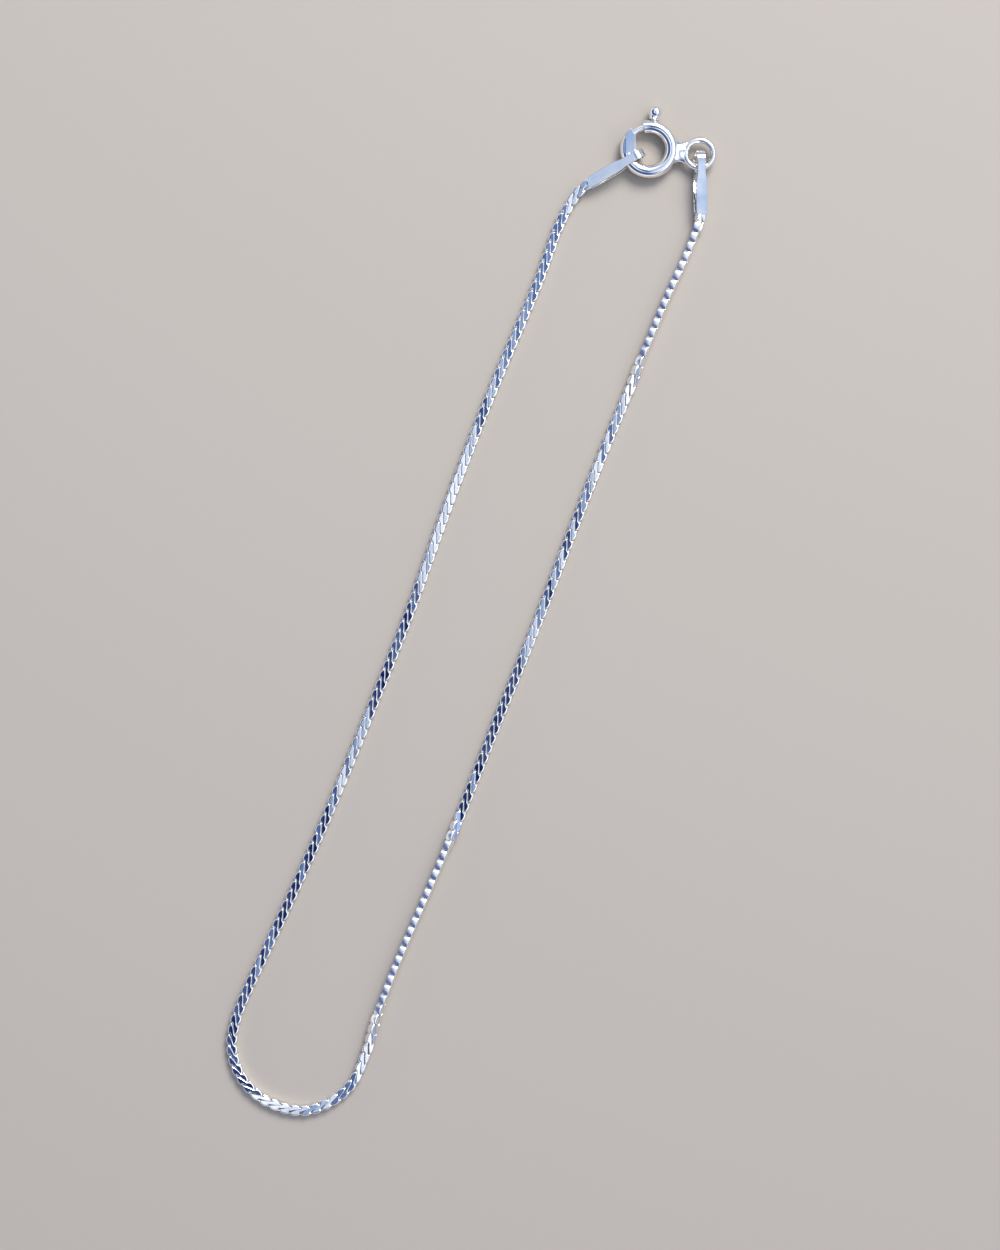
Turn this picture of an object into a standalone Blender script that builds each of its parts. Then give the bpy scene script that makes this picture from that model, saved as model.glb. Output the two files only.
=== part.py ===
"""Silver serpentine chain bracelet fastened by a spring ring clasp, lying flat in a long narrow loop.

Metres, +Z up, the surface it lies on at z = 0. The loop's length runs along Y with the clasp at +Y, and the
whole bracelet stands centred on the origin. The clasp's own angles are counted from its eyelet, counterclockwise
from above.
"""
from math import asin, atan2, ceil, cos, pi, radians, sin, sqrt

import bmesh
import bpy
from mathutils import Matrix, Vector

MM = 0.001

# Spring ring: a bored tube bent to a ring, open between its mouth and its catch
RING_OUTER_D = 5.1 * MM
RING_TUBE_D = 1.15 * MM
MOUTH_DEG = 111.0
CATCH_DEG = 155.0
CATCH_DEPTH_DEG = 8.0
CLASP_TURN_DEG = 15.4

# Catch tab: a straight flat tongue on the tube's catch end, its free end a blunt point over the bolt
TAB_WIDTH = 0.88 * MM
TAB_T = 0.14 * MM
TAB_TOP_BELOW_TUBE = 0.075 * MM
TAB_INSET = 0.29 * MM
TAB_TURN_DEG = 5.4
TAB_POINT = 1.69 * MM
TAB_SHOULDER = 1.2 * MM
TAB_ROOT = 0.45 * MM
TAB_POINT_WIDTH = 0.2 * MM
TAB_SEAT_END_DEG = 197.0

# Eyelet: a closed wire ring soldered beside the spring ring
EYELET_OUTER_D = 2.95 * MM
EYELET_WIRE_D = 0.53 * MM
EYELET_GAP = 0.41 * MM
WEB_END_WIDTH = 1.84 * MM
WEB_WAIST = 1.66 * MM
WEB_T = 0.46 * MM

# Bolt: a wire bent to the ring's radius, with a ball knob on a short stem
BOLT_WIRE_D = 0.6 * MM
BOLT_CLEARANCE = 0.05 * MM
BOLT_TIP_DEG = 158.0
BOLT_TAIL_DEG = 69.0
BOLT_TRAVEL_DEG = 46.0
KNOB_DEG = 86.0
KNOB_D = 1.06 * MM
KNOB_STANDOFF = 0.2 * MM
STEM_D = 0.5 * MM
BORE_END_MARGIN_DEG = 5.0

# Chain: a serpentine chain, flat in section
CHAIN_WIDTH = 0.95 * MM
CHAIN_T = 0.65 * MM
CHAIN_POINT_SPACING = 2.4 * MM

# Loop: from the spring ring's centre to the middle of the chain in the far bend
LOOP_LENGTH = 90.05 * MM

# End tags: strips folded over, the fold on the clasp and the leaves on the chain's end
TAG_LENGTH = 5.6 * MM
TAG_LOOP_WIDTH = 0.72 * MM
TAG_PLATE_WIDTH = 1.0 * MM
TAG_END_WIDTH = 0.76 * MM
TAG_T = 0.2 * MM
TAG_CLEARANCE = 0.05 * MM
TAG_EDGE = 0.03 * MM
CHAIN_IN_TAG = 1.2 * MM
LEFT_TAG_DEG = 214.8
LEFT_TAG_SLACK = 0.57 * MM
RIGHT_TAG_DEG = 279.4
RIGHT_TAG_SLACK = 0.65 * MM
RIGHT_TAG_ROLL_DEG = -10.0

# Where a tag is how wide: share of its length from the fold, and the width there
TAG_SECTIONS = (
    {"along": 0.15, "width": TAG_LOOP_WIDTH},
    {"along": 0.36, "width": TAG_LOOP_WIDTH},
    {"along": 0.60, "width": TAG_PLATE_WIDTH},
    {"along": 0.86, "width": TAG_PLATE_WIDTH},
    {"along": 0.95, "width": TAG_END_WIDTH},
    {"along": 1.00, "width": TAG_END_WIDTH},
)

# The chain's route between its tags: x and y from the ring's centre, in hundredths of the loop's length
CHAIN_ROUTE = (
    (-5.00, -6.44), (-5.42, -8.33), (-5.59, -10.46), (-5.55, -12.84), (-5.51, -15.55), (-5.62, -19.21),
    (-5.83, -24.32), (-5.97, -29.15), (-6.03, -34.15), (-6.02, -38.98), (-5.93, -43.86), (-5.81, -49.19),
    (-5.83, -54.19), (-5.93, -59.41), (-6.05, -64.91), (-6.22, -70.41), (-6.49, -76.29), (-6.80, -81.12),
    (-7.17, -86.06), (-7.48, -89.95), (-7.57, -93.17), (-7.04, -96.01), (-5.60, -98.17), (-3.33, -99.60),
    (-0.69, -100.00), (1.93, -99.44), (4.04, -97.67), (5.26, -95.28), (5.47, -92.28), (5.26, -88.56),
    (5.21, -84.79), (5.33, -80.40), (5.59, -74.74), (5.81, -68.30), (5.91, -62.52), (5.97, -57.02),
    (6.11, -51.30), (6.21, -45.22), (6.22, -39.72), (6.25, -34.20), (6.33, -28.65), (6.50, -22.71),
    (6.64, -17.59), (6.80, -12.85), (7.06, -9.06), (7.13, -7.00), (7.08, -5.55),
)

# How far the chain rolls off its flat side: distance before its last tag, roll
CHAIN_ROLL = (
    {"before_end": 0.0 * MM, "roll_deg": RIGHT_TAG_ROLL_DEG},
    {"before_end": 1.6 * MM, "roll_deg": RIGHT_TAG_ROLL_DEG},
    {"before_end": 3.2 * MM, "roll_deg": -62.0},
    {"before_end": 7.5 * MM, "roll_deg": -68.0},
    {"before_end": 12.0 * MM, "roll_deg": -30.0},
    {"before_end": 17.0 * MM, "roll_deg": 0.0},
)
CHAIN_DROP_LENGTH = 2.2 * MM
CHAIN_GRIP_END = CHAIN_IN_TAG + TAG_T

# Facets of the round shapes
RING_STEP_DEG = 6.0
RING_SIDES = 18
BORE_SIDES = 12
WIRE_SIDES = 12
EYELET_SEGMENTS = 36
WEB_STEPS = 6
KNOB_SIDES = 16
KNOB_STEPS = 9
KNOB_END_SHARE = 0.12
FOLD_SEGMENTS = 8
FOLD_STAYS_ROUND_DEG = 50.0
ROUTE_STEPS = 12

RING_RADIUS = (RING_OUTER_D - RING_TUBE_D) / 2
BORE_D = BOLT_WIRE_D + 2 * BOLT_CLEARANCE
SLOT_HEIGHT = STEM_D + 2 * BOLT_CLEARANCE
EYELET_RADIUS = (EYELET_OUTER_D - EYELET_WIRE_D) / 2
EYELET_X = (RING_OUTER_D + EYELET_OUTER_D) / 2 + EYELET_GAP
END_GAP = CHAIN_T + 2 * TAG_CLEARANCE
RING_Z = TAG_T + TAG_CLEARANCE + RING_TUBE_D / 2
TAB_TOP_Z = RING_TUBE_D / 2 - TAB_TOP_BELOW_TUBE

# Half the gap in a tag's fold: its leaves close in on the chain and still clear the tube past the slack
TUBE_CLEAR = RING_TUBE_D / 2 + TAG_CLEARANCE
LEAF_REACH = TAG_LENGTH - TAG_T - TUBE_CLEAR - LEFT_TAG_SLACK
FOLD_HALF_GAP = TUBE_CLEAR + (TUBE_CLEAR - END_GAP / 2) * LEFT_TAG_SLACK / LEAF_REACH
FOLD_X = FOLD_HALF_GAP + TAG_T


def clear_scene():
    for thing in list(bpy.data.objects):
        bpy.data.objects.remove(thing, do_unlink=True)


def silver(name, colour, roughness):
    """Polished sterling silver, a little softer where it is stamped or drawn."""
    material = bpy.data.materials.new(name)
    material.use_nodes = True
    shader = material.node_tree.nodes["Principled BSDF"]
    shader.inputs["Base Color"].default_value = (*colour, 1)
    shader.inputs["Metallic"].default_value = 1
    shader.inputs["Roughness"].default_value = roughness
    return material


def add_object(name, mesh, material=None, parent=None):
    thing = bpy.data.objects.new(name, mesh)
    bpy.context.scene.collection.objects.link(thing)
    if material:
        mesh.materials.append(material)
    thing.parent = parent
    return thing


def finished_mesh(name, form, sharp_deg=40):
    """Turn a bmesh into a mesh with its faces outward, smooth but for its edges."""
    bmesh.ops.recalc_face_normals(form, faces=form.faces)
    mesh = bpy.data.meshes.new(name)
    form.to_mesh(mesh)
    form.free()
    mesh.shade_smooth()
    mesh.set_sharp_from_angle(angle=radians(sharp_deg))
    return mesh


def lofted_mesh(name, rings, closed=False):
    """Skin a row of equal rings of points, closed on itself or capped at both ends."""
    form = bmesh.new()
    rows = [[form.verts.new(point) for point in ring] for ring in rings]
    count = len(rows[0])
    pairs = list(zip(rows, rows[1:]))
    if closed:
        pairs.append((rows[-1], rows[0]))
    for first, second in pairs:
        for i in range(count):
            j = (i + 1) % count
            form.faces.new((first[i], first[j], second[j], second[i]))
    if not closed:
        form.faces.new(rows[0])
        form.faces.new(rows[-1])
    return finished_mesh(name, form)


def bent_wire_rings(radius, wire_d, start_deg, end_deg, sides, step_deg):
    """Rings of a round wire bent about Z, as close as step_deg."""
    steps = max(1, ceil((end_deg - start_deg) / step_deg))
    rings = []
    for k in range(steps + 1):
        around = radians(start_deg + (end_deg - start_deg) * k / steps)
        ring = []
        for i in range(sides):
            turn = 2 * pi * (i + 0.5) / sides
            reach = radius + wire_d / 2 * cos(turn)
            ring.append(Vector((reach * cos(around), reach * sin(around), wire_d / 2 * sin(turn))))
        rings.append(ring)
    return rings


def plate_mesh(name, outline, bottom, top):
    """Raise a flat outline between two heights."""
    form = bmesh.new()
    low = [form.verts.new((x, y, bottom)) for x, y in outline]
    high = [form.verts.new((x, y, top)) for x, y in outline]
    form.faces.new(low)
    form.faces.new(high)
    for i in range(len(outline)):
        j = (i + 1) % len(outline)
        form.faces.new((low[i], low[j], high[j], high[i]))
    return finished_mesh(name, form)


def sector_outline(inner, outer, start_deg, end_deg, step_deg):
    """A piece of a flat ring between two radii and two angles."""
    steps = max(1, ceil((end_deg - start_deg) / step_deg))
    angles = [radians(start_deg + (end_deg - start_deg) * k / steps) for k in range(steps + 1)]
    out = [(outer * cos(a), outer * sin(a)) for a in angles]
    back = [(inner * cos(a), inner * sin(a)) for a in reversed(angles)]
    return out + back


def combine(thing, tool, operation):
    """Join a guide's shape to a solid, or cut it away."""
    step = thing.modifiers.new(tool.name, "BOOLEAN")
    step.operation = operation
    step.solver = "EXACT"
    step.object = tool


def tool_object(name, mesh, parent):
    """A shape that is only a guide for a solid."""
    tool = add_object(name, mesh, parent=parent)
    tool.hide_render = True
    tool.display_type = "WIRE"
    return tool


def tab_outline():
    """The catch tab from above: a straight strip whose free end narrows to a blunt point."""
    middle = -(RING_RADIUS - TAB_INSET)
    half = TAB_WIDTH / 2
    tip = TAB_POINT_WIDTH / 2
    corners = [(middle - half, -TAB_ROOT), (middle + half, -TAB_ROOT), (middle + half, TAB_SHOULDER),
               (middle + tip, TAB_POINT), (middle - tip, TAB_POINT), (middle - half, TAB_SHOULDER)]
    a = radians(TAB_TURN_DEG)
    return [(x * cos(a) - y * sin(a), x * sin(a) + y * cos(a)) for x, y in corners]


def web_outline():
    """The solder web between ring and eyelet: it ends on both wires' centre lines and is waisted between."""
    half_end = WEB_END_WIDTH / 2
    ring_half = asin(half_end / RING_RADIUS)
    eyelet_half = asin(half_end / EYELET_RADIUS)
    on_ring = []
    on_eyelet = []
    for k in range(WEB_STEPS + 1):
        share = 1 - 2 * k / WEB_STEPS
        ring_turn = ring_half * share
        eyelet_turn = eyelet_half * share
        on_ring.append((RING_RADIUS * cos(ring_turn), RING_RADIUS * sin(ring_turn)))
        on_eyelet.append((EYELET_X - EYELET_RADIUS * cos(eyelet_turn), EYELET_RADIUS * sin(eyelet_turn)))
    start = on_ring[0][0]
    end = on_eyelet[0][0]
    top = []
    for k in range(1, WEB_STEPS):
        share = k / WEB_STEPS
        half = (WEB_END_WIDTH - (WEB_END_WIDTH - WEB_WAIST) * sin(pi * share)) / 2
        top.append((start + (end - start) * share, half))
    bottom = [(x, -y) for x, y in reversed(top)]
    return top + on_eyelet + bottom + on_ring[::-1]


def make_clasp_ring(clasp, metal):
    """Tube, catch tab, web and eyelet, one soldered piece."""
    tube = bent_wire_rings(RING_RADIUS, RING_TUBE_D, CATCH_DEG, 360 + MOUTH_DEG, RING_SIDES, RING_STEP_DEG)
    ring = add_object("clasp_ring", lofted_mesh("clasp_ring", tube), metal, clasp)

    eyelet_wire = bent_wire_rings(EYELET_RADIUS, EYELET_WIRE_D, 0, 360, WIRE_SIDES, 360 / EYELET_SEGMENTS)
    eyelet = tool_object("eyelet_shape", lofted_mesh("eyelet_shape", eyelet_wire[:-1], closed=True), clasp)
    eyelet.location.x = EYELET_X
    web = tool_object("web_shape", plate_mesh("web_shape", web_outline(), -WEB_T / 2, WEB_T / 2), clasp)

    flat = sector_outline(RING_RADIUS - RING_TUBE_D, RING_RADIUS + RING_TUBE_D, CATCH_DEG - RING_STEP_DEG,
                          TAB_SEAT_END_DEG, RING_STEP_DEG)
    flat_bottom = TAB_TOP_Z - TAB_T / 2
    flat_cut = tool_object("tab_seat", plate_mesh("tab_seat", flat, flat_bottom, RING_TUBE_D), clasp)
    tab_plate = plate_mesh("tab_shape", tab_outline(), TAB_TOP_Z - TAB_T, TAB_TOP_Z)
    tab = tool_object("tab_shape", tab_plate, clasp)

    bore_start = BOLT_TAIL_DEG - BOLT_TRAVEL_DEG - BORE_END_MARGIN_DEG
    bore_end = MOUTH_DEG + RING_STEP_DEG
    bore = bent_wire_rings(RING_RADIUS, BORE_D, bore_start, bore_end, BORE_SIDES, RING_STEP_DEG)
    bore_cut = tool_object("bolt_bore", lofted_mesh("bolt_bore", bore), clasp)
    catch_start = CATCH_DEG - RING_STEP_DEG
    catch_end = BOLT_TIP_DEG + CATCH_DEPTH_DEG
    catch = bent_wire_rings(RING_RADIUS, BORE_D, catch_start, catch_end, BORE_SIDES, RING_STEP_DEG)
    catch_cut = tool_object("catch_bore", lofted_mesh("catch_bore", catch), clasp)

    stem_half_deg = (STEM_D / 2 + BOLT_CLEARANCE) / (RING_RADIUS + BORE_D / 2) * 180 / pi
    slot = sector_outline(RING_RADIUS, RING_RADIUS + RING_TUBE_D, KNOB_DEG - BOLT_TRAVEL_DEG - stem_half_deg,
                          KNOB_DEG + stem_half_deg, RING_STEP_DEG)
    slot_plate = plate_mesh("stem_slot", slot, -SLOT_HEIGHT / 2, SLOT_HEIGHT / 2)
    slot_cut = tool_object("stem_slot", slot_plate, clasp)

    combine(ring, web, "UNION")
    combine(ring, eyelet, "UNION")
    combine(ring, flat_cut, "DIFFERENCE")
    combine(ring, tab, "UNION")
    combine(ring, bore_cut, "DIFFERENCE")
    combine(ring, catch_cut, "DIFFERENCE")
    combine(ring, slot_cut, "DIFFERENCE")
    return ring


def turned_mesh(name, profile, sides):
    """Turn a profile of (along, radius) about its own axis, which becomes local X."""
    rings = []
    for along, radius in profile:
        ring = []
        for i in range(sides):
            turn = 2 * pi * i / sides
            ring.append(Vector((along, radius * cos(turn), radius * sin(turn))))
        rings.append(ring)
    return lofted_mesh(name, rings)


def make_clasp_bolt(clasp, metal):
    """The sliding wire with its stem and knob; its origin is the ring's centre, the joint's axis."""
    wire = bent_wire_rings(RING_RADIUS, BOLT_WIRE_D, BOLT_TAIL_DEG, BOLT_TIP_DEG, WIRE_SIDES, RING_STEP_DEG)
    bolt = add_object("clasp_bolt", lofted_mesh("clasp_bolt", wire), metal, clasp)

    knob_near = RING_OUTER_D / 2 + KNOB_STANDOFF
    knob_r = KNOB_D / 2
    knob_centre = knob_near + sqrt(knob_r ** 2 - (STEM_D / 2) ** 2)
    first = asin(STEM_D / 2 / knob_r)
    profile = [(RING_RADIUS, STEM_D / 2)]
    for k in range(KNOB_STEPS + 1):
        turn = first + (pi - first) * k / KNOB_STEPS
        radius = knob_r * max(sin(turn), KNOB_END_SHARE)
        profile.append((knob_centre - knob_r * cos(turn), radius))
    knob = tool_object("knob_shape", turned_mesh("knob_shape", profile, KNOB_SIDES), clasp)
    knob.rotation_euler.z = radians(KNOB_DEG)
    combine(bolt, knob, "UNION")
    return bolt


def tag_width(along):
    """A tag's width at a distance from its fold."""
    places = [(section["along"] * TAG_LENGTH, section["width"]) for section in TAG_SECTIONS]
    if along <= places[0][0]:
        return places[0][1]
    for (x0, w0), (x1, w1) in zip(places, places[1:]):
        if along <= x1:
            return w0 + (w1 - w0) * (along - x0) / (x1 - x0)
    return places[-1][1]


def tag_mesh(name):
    """A folded strip about its own middle plane: fold at x = 0, chain end at x = TAG_LENGTH."""
    fold_r = FOLD_HALF_GAP + TAG_T / 2
    leaf_start = Vector((FOLD_X, 0, fold_r))
    leaf_end = Vector((TAG_LENGTH, 0, END_GAP / 2 + TAG_T / 2))
    slope = (leaf_end - leaf_start).normalized()
    leaf_normal = Vector((-slope.z, 0, slope.x))

    stations = []
    places = [section["along"] * TAG_LENGTH for section in TAG_SECTIONS]
    for x in [FOLD_X] + [x for x in places if x > FOLD_X]:
        stations.append((leaf_start.lerp(leaf_end, (x - FOLD_X) / (TAG_LENGTH - FOLD_X)), leaf_normal))
    upper = stations[::-1]
    lower = [(Vector((p.x, 0, -p.z)), Vector((n.x, 0, -n.z))) for p, n in stations]
    bend = []
    for k in range(1, FOLD_SEGMENTS):
        turn = pi / 2 + pi * k / FOLD_SEGMENTS
        out = Vector((cos(turn), 0, sin(turn)))
        bend.append((Vector((FOLD_X, 0, 0)) + out * fold_r, out))

    rings = []
    for place, normal in upper + bend + lower:
        half = tag_width(place.x) / 2
        side = Vector((0, half, 0))
        out = normal * TAG_T / 2
        rings.append([place + out + side, place + out - side, place - out - side, place - out + side])
    return lofted_mesh(name, rings)


def make_tag(name, metal, root, straddled, direction_deg, slack, roll_deg):
    """Hang a tag on the wire whose centre it straddles, and lay it on the surface."""
    direction = radians(direction_deg)
    roll = radians(roll_deg)
    fold_z = FOLD_X * cos(roll) + TAG_LOOP_WIDTH / 2 * abs(sin(roll))
    end_z = (END_GAP / 2 + TAG_T) * cos(roll) + TAG_PLATE_WIDTH / 2 * abs(sin(roll))
    pitch = atan2(fold_z - end_z, TAG_LENGTH - FOLD_X)
    aimed = Matrix.Rotation(direction, 4, "Z") @ Matrix.Rotation(pitch, 4, "Y")
    turn = aimed @ Matrix.Rotation(roll, 4, "X")
    mesh = tag_mesh(name)
    mesh.transform(turn)
    heading = Vector((cos(direction), sin(direction), 0))
    fold_end = straddled - heading * (slack + FOLD_X)
    lowest = min(vertex.co.z for vertex in mesh.vertices)
    tag = add_object(name, mesh, metal, root)
    tag.location = (fold_end.x, fold_end.y, -lowest)
    edge = tag.modifiers.new("eased_edges", "BEVEL")
    edge.width = TAG_EDGE
    edge.segments = 1
    edge.limit_method = "ANGLE"
    edge.angle_limit = radians(FOLD_STAYS_ROUND_DEG)
    return tag, Matrix.Translation(tag.location) @ turn


def smooth_route(points):
    """A smooth curve through hand-placed points, with finer points on it."""
    ends = [points[0] * 2 - points[1]] + points + [points[-1] * 2 - points[-2]]
    fine = []
    for p0, p1, p2, p3 in zip(ends, ends[1:], ends[2:], ends[3:]):
        t1 = sqrt((p1 - p0).length)
        t2 = t1 + sqrt((p2 - p1).length)
        t3 = t2 + sqrt((p3 - p2).length)
        for k in range(ROUTE_STEPS):
            t = t1 + (t2 - t1) * k / ROUTE_STEPS
            a1 = p0.lerp(p1, t / t1)
            a2 = p1.lerp(p2, (t - t1) / (t2 - t1))
            a3 = p2.lerp(p3, (t - t2) / (t3 - t2))
            b1 = a1.lerp(a2, t / t2)
            b2 = a2.lerp(a3, (t - t1) / (t3 - t1))
            fine.append(b1.lerp(b2, (t - t1) / (t2 - t1)))
    fine.append(points[-1])
    return fine


def chain_roll(before_end):
    """The chain's roll at a distance before its end in the right tag."""
    for low, high in zip(CHAIN_ROLL, CHAIN_ROLL[1:]):
        if before_end <= high["before_end"]:
            share = (before_end - low["before_end"]) / (high["before_end"] - low["before_end"])
            return radians(low["roll_deg"] + (high["roll_deg"] - low["roll_deg"]) * share)
    return radians(CHAIN_ROLL[-1]["roll_deg"])


def ease(share):
    share = min(max(share, 0), 1)
    return share * share * (3 - 2 * share)


def chain_height(distance, left, right, total):
    """The chain's centre height: on the surface, but lifted to each tag's middle at both ends."""
    roll = chain_roll(total - distance)
    height = CHAIN_T / 2 + (CHAIN_WIDTH - CHAIN_T) / 2 * abs(sin(roll))
    for away, (mouth, inner) in ((distance, left), (total - distance, right)):
        gripped = inner.z + (mouth.z - inner.z) * min(away / CHAIN_GRIP_END, 1)
        height = gripped + (height - gripped) * ease((away - CHAIN_GRIP_END) / CHAIN_DROP_LENGTH)
    return height


def make_chain(metal, root, left_frame, right_frame):
    """A flat band with the chain's own width and thickness along its route."""
    gripped = (Vector((TAG_LENGTH, 0, 0)), Vector((TAG_LENGTH - CHAIN_IN_TAG, 0, 0)))
    left = [left_frame @ point for point in gripped]
    right = [right_frame @ point for point in gripped]
    middle = [Vector((x, y, 0)) * LOOP_LENGTH / 100 for x, y in CHAIN_ROUTE]
    flat = [Vector((p.x, p.y, 0)) for p in left[::-1] + middle + right]
    fine = smooth_route(flat)
    run = [0.0]
    for p, q in zip(fine, fine[1:]):
        run.append(run[-1] + (q - p).length)
    total = run[-1]
    free = total - 2 * CHAIN_GRIP_END
    count = ceil(free / CHAIN_POINT_SPACING)
    stops = [0.0] + [CHAIN_GRIP_END + free * k / count for k in range(count + 1)] + [total]

    curve = bpy.data.curves.new("chain", "CURVE")
    curve.dimensions = "3D"
    curve.twist_mode = "Z_UP"
    curve.bevel_depth = CHAIN_T / 2
    curve.extrude = (CHAIN_WIDTH - CHAIN_T) / 2
    curve.bevel_resolution = 2
    curve.use_fill_caps = True
    spline = curve.splines.new("POLY")
    spline.points.add(len(stops) - 1)
    k = 0
    for point, stop in zip(spline.points, stops):
        while k < len(run) - 2 and run[k + 1] < stop:
            k += 1
        place = fine[k].lerp(fine[k + 1], (stop - run[k]) / (run[k + 1] - run[k]))
        point.co = (place.x, place.y, chain_height(stop, left, right, total), 1)
        point.tilt = pi / 2 - chain_roll(total - stop)
    curve.materials.append(metal)
    chain = bpy.data.objects.new("chain", curve)
    bpy.context.scene.collection.objects.link(chain)
    chain.parent = root
    return chain


def centre_on_origin(root, pieces):
    """Stand the bracelet's box centred over the origin."""
    bpy.context.view_layer.update()
    shapes = bpy.context.evaluated_depsgraph_get()
    corners = []
    for piece in pieces:
        shown = piece.evaluated_get(shapes)
        mesh = shown.to_mesh()
        corners += [shown.matrix_world @ vertex.co for vertex in mesh.vertices]
        shown.to_mesh_clear()
    for axis in range(2):
        values = [corner[axis] for corner in corners]
        root.location[axis] = -(min(values) + max(values)) / 2


def main():
    clear_scene()
    polished = silver("polished_sterling_silver", (0.93, 0.93, 0.92), 0.12)
    stamped = silver("stamped_sterling_silver", (0.91, 0.91, 0.90), 0.22)
    drawn = silver("serpentine_chain_silver", (0.93, 0.93, 0.93), 0.16)

    root = bpy.data.objects.new("bracelet", None)
    bpy.context.scene.collection.objects.link(root)
    clasp = bpy.data.objects.new("clasp", None)
    bpy.context.scene.collection.objects.link(clasp)
    clasp.parent = root
    clasp.location.z = RING_Z
    clasp.rotation_euler.z = radians(CLASP_TURN_DEG)

    ring = make_clasp_ring(clasp, polished)
    bolt = make_clasp_bolt(clasp, polished)

    left_deg = LEFT_TAG_DEG + CLASP_TURN_DEG
    left_wire = Vector((cos(radians(left_deg)), sin(radians(left_deg)), 0)) * RING_RADIUS
    left_tag, left_frame = make_tag("tag_left", stamped, root, left_wire, left_deg, LEFT_TAG_SLACK, 0)
    right_deg = RIGHT_TAG_DEG + CLASP_TURN_DEG
    turn = radians(CLASP_TURN_DEG)
    eyelet = Vector((cos(turn), sin(turn), 0)) * EYELET_X
    right_wire = eyelet + Vector((cos(radians(right_deg)), sin(radians(right_deg)), 0)) * EYELET_RADIUS
    right_tag, right_frame = make_tag("tag_right", stamped, root, right_wire, right_deg, RIGHT_TAG_SLACK,
                                      RIGHT_TAG_ROLL_DEG)
    chain = make_chain(drawn, root, left_frame, right_frame)
    centre_on_origin(root, [ring, bolt, left_tag, right_tag, chain])


main()
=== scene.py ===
"""A polished sterling silver serpentine bracelet with a spring ring clasp, lying in a long narrow loop."""

from math import asin, atan2, ceil, cos, degrees, pi, radians, sin, sqrt

import bmesh
import bpy
from mathutils import Matrix, Vector


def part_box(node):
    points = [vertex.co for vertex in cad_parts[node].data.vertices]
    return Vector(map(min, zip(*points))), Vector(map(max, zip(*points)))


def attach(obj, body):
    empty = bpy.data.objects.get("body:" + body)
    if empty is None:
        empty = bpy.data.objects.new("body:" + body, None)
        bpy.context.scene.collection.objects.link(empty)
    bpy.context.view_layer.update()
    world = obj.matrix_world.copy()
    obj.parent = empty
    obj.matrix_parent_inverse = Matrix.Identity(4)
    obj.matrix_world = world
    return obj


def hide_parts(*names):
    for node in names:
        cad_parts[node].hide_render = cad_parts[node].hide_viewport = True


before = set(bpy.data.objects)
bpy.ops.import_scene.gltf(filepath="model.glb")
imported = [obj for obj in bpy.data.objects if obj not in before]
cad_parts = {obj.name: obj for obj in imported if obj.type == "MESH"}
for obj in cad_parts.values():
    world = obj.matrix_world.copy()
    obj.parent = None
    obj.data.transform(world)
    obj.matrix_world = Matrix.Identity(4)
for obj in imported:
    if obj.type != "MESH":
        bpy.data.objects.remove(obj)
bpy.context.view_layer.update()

MM = 0.001

# Where the spring ring's centre stands
RING_CENTRE = Vector((0.1725, 43.3957, 0.825)) * MM

# Edges sharper than this stay crisp on the finished clasp, so its flat faces mirror as flat ones
CLASP_SHARP_DEG = 20

# Spring ring
RING_OUTER_D = 5.1 * MM
RING_TUBE_D = 1.15 * MM
MOUTH_DEG = 111.0
CATCH_DEG = 155.0
CATCH_DEPTH_DEG = 8.0
CLASP_TURN_DEG = 15.4
RIM_ROUND_DEG = 1.6
RIM_ROUND_SHARE = 0.3
RIM_STEPS = 4
BORE_TIP_R = 0.02 * MM
RING_SIDES = 40
RING_STEP_DEG = 2.0
BORE_STEP_DEG = 4.0

# Catch tab
TAB_WIDTH = 0.88 * MM
TAB_T = 0.14 * MM
TAB_TOP_BELOW_TUBE = 0.075 * MM
TAB_INSET = 0.29 * MM
TAB_TURN_DEG = 5.4
TAB_LEAN_DEG = 1.5
TAB_POINT = 1.69 * MM
TAB_SHOULDER = 1.2 * MM
TAB_ROOT = 0.45 * MM
TAB_POINT_WIDTH = 0.2 * MM
TAB_EASED_EDGE = 0.035 * MM
TAB_SEAT_START_DEG = 151.0
TAB_SEAT_END_DEG = 197.0

# Eyelet and its solder web
EYELET_OUTER_D = 2.95 * MM
EYELET_WIRE_D = 0.53 * MM
EYELET_GAP = 0.41 * MM
EYELET_STEP_DEG = 4.0
WIRE_SIDES = 28
WEB_SECTIONS = (
    {"from_centre": 1.90 * MM, "half_width": 1.42 * MM, "half_height": 0.42 * MM},
    {"from_centre": 2.10 * MM, "half_width": 1.32 * MM, "half_height": 0.50 * MM},
    {"from_centre": 2.25 * MM, "half_width": 1.19 * MM, "half_height": 0.48 * MM},
    {"from_centre": 2.40 * MM, "half_width": 1.04 * MM, "half_height": 0.43 * MM},
    {"from_centre": 2.55 * MM, "half_width": 0.93 * MM, "half_height": 0.385 * MM},
    {"from_centre": 2.70 * MM, "half_width": 0.87 * MM, "half_height": 0.35 * MM},
    {"from_centre": 2.88 * MM, "half_width": 0.86 * MM, "half_height": 0.325 * MM},
    {"from_centre": 3.05 * MM, "half_width": 0.90 * MM, "half_height": 0.30 * MM},
    {"from_centre": 3.22 * MM, "half_width": 0.97 * MM, "half_height": 0.26 * MM},
    {"from_centre": 3.40 * MM, "half_width": 1.02 * MM, "half_height": 0.15 * MM},
)

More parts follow.
